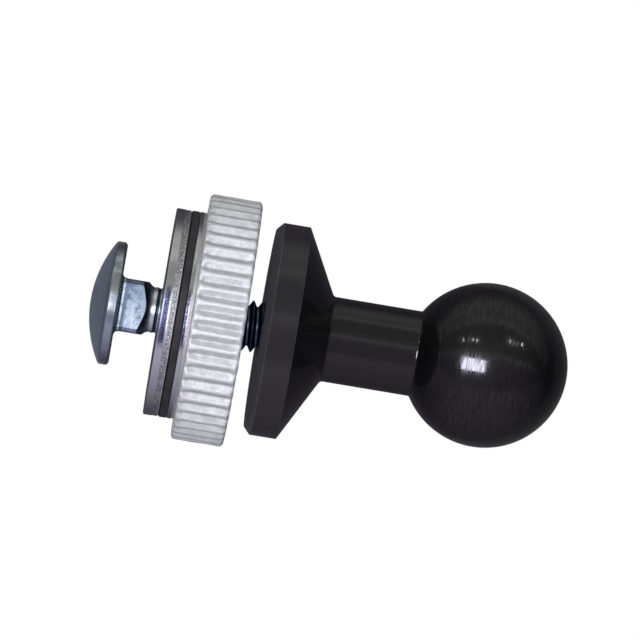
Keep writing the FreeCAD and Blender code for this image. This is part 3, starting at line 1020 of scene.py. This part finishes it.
def tumble(mesh, size):
    # Leaves the outside slightly uneven, and the flat faces as they are.
    start, grow = size["radius"] * size["unevenStartShare"], size["radius"] * size["unevenGrowShare"]
    noise.seed_set(size["unevenSeed"])
    for vertex in mesh.vertices:
        reach = math.hypot(vertex.co.x, vertex.co.y)
        weight = min(max((reach - start) / grow, 0), 1)
        vertex.co += noise.noise_vector(vertex.co / size["unevenSize"]) * size["unevenness"] * weight


def innerSection():
    # The ridge in the nut and the post, between the bolt's ridges.
    root, crest, half = thread["innerRoot"], thread["innerCrest"], thread["innerWidth"] / 2
    base = half + (root - crest) * math.tan(thread["flank"])
    return [(root, base), (crest, half), (crest, -half), (root, -base)]


nutRimLow = nutLow.z + nut["bossHeight"]
aluminium = tumbledAluminium(aluminiumFinish, nut["radius"], nutRimLow, nutHigh.z)
points, faces = nutSector(nut)
nutPiece = repeated("nut_body", points, faces, nut["flutes"], math.tau / nut["flutes"], 0.0, aluminium)
tumble(nutPiece.data, nut)
finishPiece(nutPiece, "thumb_nut", ["thumb_nut"], aluminium, sharpAngle=50)
nutTurns = math.floor((nutHigh.z - nutLow.z - nut["threadMargins"]) / thread["pitch"]) - 1
# The nut's ridge lies halfway between the bolt's, and starts just inside the nut.
firstTurn = math.ceil((nutLow.z + nut["threadStart"] - boltHigh.z) / thread["pitch"] - 0.5) + 0.5
nutCoil = helixCoil("nut_thread", innerSection(), boltHigh.z + firstTurn * thread["pitch"], nutTurns,
                    thread["segments"], aluminium)
finishPiece(nutCoil, "thumb_nut", ["thumb_nut"], aluminium, coilSharpAngle)
print("nut made")

# Ball post: the ball with its fillet, and the stem, meet at the neck's top
postLow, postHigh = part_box("ball_post")
post = {
    "segments": 256,
    "neckRadius": 6.6 * mm,
    "ballFillet": 0.4 * mm,
    "chamferHeight": 1.0 * mm,
    "chamferWidth": 1.1 * mm,
    "rimHeight": 4.15 * mm,
    "coneHeight": 5.25 * mm,
    "coneFillet": 0.7 * mm,
    "edgeRound": 0.13 * mm,
    "bore": 4.03 * mm,
    "mouth": 4.32 * mm,
    "holeBeyondBolt": 1.2 * mm,
    "drillShare": 0.6,               # depth of the hole's pointed end, beside its radius
    "faceShare": 0.5,                # of the rim's radius, for a ring on the flat face
    "threadMargin": 0.8 * mm,        # from the mouth to the thread
}
postRimLow = postLow.z + post["chamferHeight"]
postRimTop = postRimLow + post["rimHeight"]
postConeTop = postRimTop + post["coneHeight"]
# The fillet's centre lies beside the neck and outside the ball.
neckTop = -math.sqrt((postHigh.z + post["ballFillet"]) ** 2
                     - (post["neckRadius"] + post["ballFillet"]) ** 2)


def roundedCorners(corners, rounds, steps=6):
    # An outline of (radius, height) corners, each replaced by an arc of its own radius.
    outline = []
    for k, corner in enumerate(corners):
        if rounds[k] == 0:
            outline.append(corner)
            continue
        here = Vector(corner)
        back = (Vector(corners[k - 1]) - here).normalized()
        ahead = (Vector(corners[k + 1]) - here).normalized()
        half = back.angle(ahead) / 2
        reach = rounds[k] / math.tan(half)
        centre = here + (back + ahead).normalized() * rounds[k] / math.sin(half)
        first = (here + back * reach - centre).normalized()
        last = (here + ahead * reach - centre).normalized()
        for i in range(steps + 1):
            outline.append(tuple(centre + first.slerp(last, i / steps) * rounds[k]))
    return outline


def ballOutline(size):
    radius, neck, fillet = postHigh.z, size["neckRadius"], size["ballFillet"]
    touch = math.degrees(math.atan2(-neckTop, neck + fillet))
    outline = [(0, neckTop)]
    outline += arcPoints(neck + fillet, neckTop, fillet, 180, 180 - touch, steps=8)
    outline += arcPoints(0, 0, radius, -touch, 90, steps=120)[1:-1]
    return outline + [(0, radius)]


def stemOutline(size):
    rim, neck, edge = postHigh.x, size["neckRadius"], size["edgeRound"]
    holeEnd = boltHigh.z + size["holeBeyondBolt"]
    mouthDepth = size["mouth"] - size["bore"]
    corners = [(size["bore"], holeEnd), (size["bore"], postLow.z + mouthDepth), (size["mouth"], postLow.z),
               (rim * size["faceShare"], postLow.z), (rim - size["chamferWidth"], postLow.z),
               (rim, postRimLow), (rim, postRimTop), (neck, postConeTop), (neck, neckTop)]
    outline = roundedCorners(corners, [0, 0, 0, 0, edge, edge, edge, size["coneFillet"], 0])
    return [(0, holeEnd + size["bore"] * size["drillShare"])] + outline + [(0, neckTop)]


def addPostPiece(name, outline, material):
    points, faces = skinRings(outlineRings(outline, post["segments"]), closed=False)
    addPiece(name, points, faces, "post_and_bolt", ["ball_post"], material)


# radius, height, patchiness and amount of each worn edge
wornEdges = [(postHigh.x, postRimLow, 1.5, 0.10), (postHigh.x, postRimTop, 1.9, 0.05),
             (postHigh.x - post["chamferWidth"], postLow.z, 1.9, 0.12)]
black = blackAnodised(blackFinish, postRimLow, postRimTop, neckTop, wornEdges)
addPostPiece("post_ball", ballOutline(post), black)
addPostPiece("post_stem", stemOutline(post), black)
postTurns = math.floor((boltHigh.z - postLow.z - post["threadMargin"]) / thread["pitch"])
postCoil = helixCoil("post_thread", innerSection(), boltHigh.z - (postTurns + 0.5) * thread["pitch"],
                     postTurns, thread["segments"], black)
finishPiece(postCoil, "post_and_bolt", ["ball_post"], black, coilSharpAngle)
print("ball post made")

# Studio: white all round to the camera and in reflections, soft lamps, and cards that only gloss sees.
studio = {
    "centre": Vector((0, 0, -26)) * mm,
    "floorHeight": -82 * mm,
    "floorSize": 6.0,
    "floorColor": (0.80, 0.80, 0.80),
    "floorGlow": 0.75,
    "worldLight": 0.50,
    "wallRadius": 3.0,
}


def studioDirection(upDegrees, alongDegrees):
    # Round the bolt's axis from the camera's side (0) over the picture's top (90), and along the axis.
    up, along = math.radians(upDegrees), math.radians(alongDegrees)
    return Vector((-math.sin(up) * math.cos(along), -math.cos(up) * math.cos(along), math.sin(along)))


def whiteRay(tree):
    # 1 where the camera, a gloss or a glass looks.
    path = place(tree, "ShaderNodeLightPath").outputs
    seen = calc(tree, "MAXIMUM", path["Is Camera Ray"], path["Is Glossy Ray"])
    return calc(tree, "MAXIMUM", seen, path["Is Transmission Ray"])


def addWorld(look):
    world = bpy.data.worlds.new("studio")
    world.use_nodes = True
    tree = world.node_tree
    strength = scaled(tree, whiteRay(tree), look["worldLight"], 1.0)
    feed(tree, tree.nodes["Background"], {"Color": (1, 1, 1, 1), "Strength": strength})
    bpy.context.scene.world = world


def addFloor(look):
    half = look["floorSize"] / 2
    signs = ((-1, -1), (1, -1), (1, 1), (-1, 1))
    corners = [Vector((x * half, y * half, look["floorHeight"])) for x, y in signs]
    floor = newObject("floor", corners, [(0, 1, 2, 3)])
    material, tree, shader, _ = newMaterial("paleFloor", metallic=0.0, roughness=0.9, specular=0.0)
    glow = calc(tree, "MULTIPLY", whiteRay(tree), look["floorGlow"])
    feed(tree, shader, {"Base Color": (*look["floorColor"], 1), "Emission Color": (1, 1, 1, 1),
                        "Emission Strength": glow})
    floor.data.materials.append(material)
    floor.visible_glossy = False     # gloss looks through it at the white world and the lamps
    floor.visible_shadow = False


def onlyGloss(thing):
    # Seen in reflections alone: it neither shows, lights nor shades anything else.
    thing.visible_camera = False
    thing.visible_diffuse = False
    thing.visible_transmission = False
    thing.visible_volume_scatter = False
    thing.visible_shadow = False


violet, grey = (0.98, 0.90, 1.14), (1.01, 1.01, 0.97)
surround = {
    # brightness beside white, round the axis from behind under the table to behind over the top
    "round": ((-180, 0.045, violet), (-164, 0.085, violet), (-144, 0.085, violet), (-128, 0.13, violet),
              (-116, 0.20, violet), (-106, 0.27, violet), (-89, 0.38, violet), (-74, 0.45, violet),
              (-60, 0.53, violet), (-47, 0.59, violet), (-37, 0.57, violet), (-31, 0.39, violet),
              (-20, 0.38, violet), (-6, 0.40, violet), (0, 0.43, violet), (6, 0.51, violet),
              (10, 0.72, violet), (16, 0.74, grey), (20, 0.44, grey), (35, 0.35, grey), (53, 0.34, grey),
              (59, 0.42, grey), (65, 0.74, grey), (68, 0.74, grey), (72, 0.54, grey), (81, 0.51, grey),
              (89, 0.58, grey), (97, 0.47, grey), (106, 0.30, grey), (116, 0.13, violet),
              (128, 0.09, violet), (180, 0.045, violet)),
    # share of it along the axis, by the sine of the angle
    "alongShares": ((-1.0, 0.78), (-0.95, 0.66), (-0.78, 0.68), (-0.54, 0.95), (-0.26, 1.08), (0.03, 1.0),
                    (0.33, 0.95), (0.60, 0.84), (0.82, 0.60), (0.97, 0.26), (1.0, 0.08)),
    "slices": 48,
}


def colorRamp(tree, value, stops):
    # stops hold (position from 0 to 1, color)
    node = place(tree, "ShaderNodeValToRGB", {0: value})
    elements = node.color_ramp.elements
    elements[0].position, elements[1].position = stops[0][0], stops[-1][0]
    for position, _ in stops[1:-1]:
        elements.new(position)
    for element, (_, color) in zip(elements, stops):
        element.color = (*color, 1)
    return node.outputs[0]


def addSurround(given, look):
    # A graded sphere that stands in for the studio's walls in reflections.
    radius, slices = look["wallRadius"], given["slices"]
    rings = [[Vector((0, 0, -radius))]]
    for k in range(1, slices // 2):
        lean = math.pi * k / (slices // 2)
        rings.append(plainRing(radius * math.sin(lean), -radius * math.cos(lean), slices))
    rings.append([Vector((0, 0, radius))])
    points, faces = skinRings(rings, closed=False)
    piece = newObject("surround", [point + look["centre"] for point in points], faces)
    material, tree, shader, position = newMaterial("surround", metallic=0.0, roughness=1.0, specular=0.0)
    offset = {0: position, 1: look["centre"]}
    away = place(tree, "ShaderNodeVectorMath", offset, operation="SUBTRACT").outputs[0]
    parts = place(tree, "ShaderNodeSeparateXYZ", {0: away}).outputs
    x, y = [calc(tree, "MULTIPLY", part, -1.0) for part in parts[:2]]
    up = calc(tree, "ARCTAN2", x, y)
    turn = calc(tree, "ADD", calc(tree, "DIVIDE", up, math.tau), 0.5)
    height = calc(tree, "ADD", calc(tree, "DIVIDE", parts[2], 2 * radius), 0.5)
    color = colorRamp(tree, turn, [(degrees / 360 + 0.5, [value * part for part in tint])
                                   for degrees, value, tint in given["round"]])
    share = colorRamp(tree, height, [(sine / 2 + 0.5, (value,) * 3) for sine, value in given["alongShares"]])
    strength = place(tree, "ShaderNodeSeparateXYZ", {0: share}).outputs[0]
    feed(tree, shader, {"Base Color": (0, 0, 0, 1), "Emission Color": color, "Emission Strength": strength})
    piece.data.materials.append(material)
    onlyGloss(piece)


steels = ["bolt_body", "track_washer_steel", "nut_washer_steel"]
lamps = {
    # from: degrees up and along, and metres away. size in metres, brightness beside white
    "soft_key": {"from": (0, -20, 2.5), "size": (1.82, 1.1), "brightness": 1.8, "gloss": False},
    "top_fill": {"from": (62, 0, 1.2), "size": (1.0, 1.0), "brightness": 0.75, "gloss": False,
                 "off": ["nut_body"]},
    "table_fill": {"from": (-62, 0, 1.2), "size": (1.0, 1.0), "brightness": 0.65, "gloss": False,
                   "off": ["nut_body"]},
    "steel_key": {"from": (0, -14, 2.4), "size": (2.1, 1.2), "brightness": 1.1, "diffuse": False,
                  "on": steels + ["bolt_thread", "rubber_disc"]},
    "edge_key": {"from": (0, -21, 2.3), "size": (1.3, 1.2), "brightness": 1.8, "diffuse": False,
                 "on": steels + ["rubber_disc"]},
    "dome_card": {"from": (180, -38, 1.6), "size": (2.6, 2.6), "brightness": 0.10, "diffuse": False,
                  "color": (0.92, 0.98, 1.1), "on": ["bolt_body"]},
    "nut_key": {"from": (-1, -19.5, 2.5), "size": (1.5, 0.75), "brightness": 28.0, "on": ["nut_body"]},
    "ball_side": {"from": (180, 33, 1.6), "size": (2.4, 3.4), "brightness": 0.045, "diffuse": False,
                  "color": (1.0, 1.02, 0.92), "on": ["post_ball"]},
    "ball_key": {"from": (-2, -19.5, 2.5), "size": (1.5, 0.75), "brightness": 23.5, "diffuse": False,
                 "color": (0.93, 0.95, 1.12), "on": ["post_ball"]},
    "side_strip": {"from": (0, 30, 1.5), "size": (1.05, 0.8), "brightness": 1.8, "diffuse": False,
                   "color": (0.75, 0.9, 1.0), "on": steels},
}
# up, along and brightness of the small lamps over the ball
dots = ((36.6, -37.0, 22), (36.0, -28.5, 9), (35.2, -23.5, 9), (33.8, -18.0, 22), (41.0, 25.0, 24),
        (41.6, 30.5, 9), (43.0, 35.0, 9), (46.0, 41.5, 18))
for i, (up, along, brightness) in enumerate(dots):
    lamps["dot_%d" % i] = {"from": (up, along, 1.6), "size": (0.055, 0.11), "brightness": brightness,
                           "diffuse": False, "on": ["post_ball"]}


def addLamp(name, lamp, look):
    data = bpy.data.lights.new(name, "AREA")
    data.shape = "RECTANGLE"
    data.size, data.size_y = lamp["size"]
    data.energy = lamp["brightness"] * math.pi * data.size * data.size_y
    data.color = lamp.get("color", (1, 1, 1))
    upDegrees, alongDegrees, distance = lamp["from"]
    away = studioDirection(upDegrees, alongDegrees)
    side = (Vector((0, 0, 1)) - away * away.z).normalized()
    turn = Matrix((side, away.cross(side), away)).transposed().to_4x4()
    light = bpy.data.objects.new(name, data)
    light.matrix_world = Matrix.Translation(look["centre"] + away * distance) @ turn
    light.visible_camera = False
    light.visible_glossy = lamp.get("gloss", True)
    light.visible_diffuse = lamp.get("diffuse", True)
    bpy.context.scene.collection.objects.link(light)
    for state in ("on", "off"):
        # It lights the pieces under "on" alone, or all but those under "off".
        if state in lamp:
            group = bpy.data.collections.new(name + "_" + state)
            for piece in lamp[state]:
                group.objects.link(bpy.data.objects[piece])
            for linked in group.collection_objects:
                linked.light_linking.link_state = "INCLUDE" if state == "on" else "EXCLUDE"
            light.light_linking.receiver_collection = group


addWorld(studio)
addFloor(studio)
addSurround(surround, studio)
for name, lamp in lamps.items():
    addLamp(name, lamp, studio)
print("studio lit")

bpy.context.scene.view_settings.view_transform = "Standard"
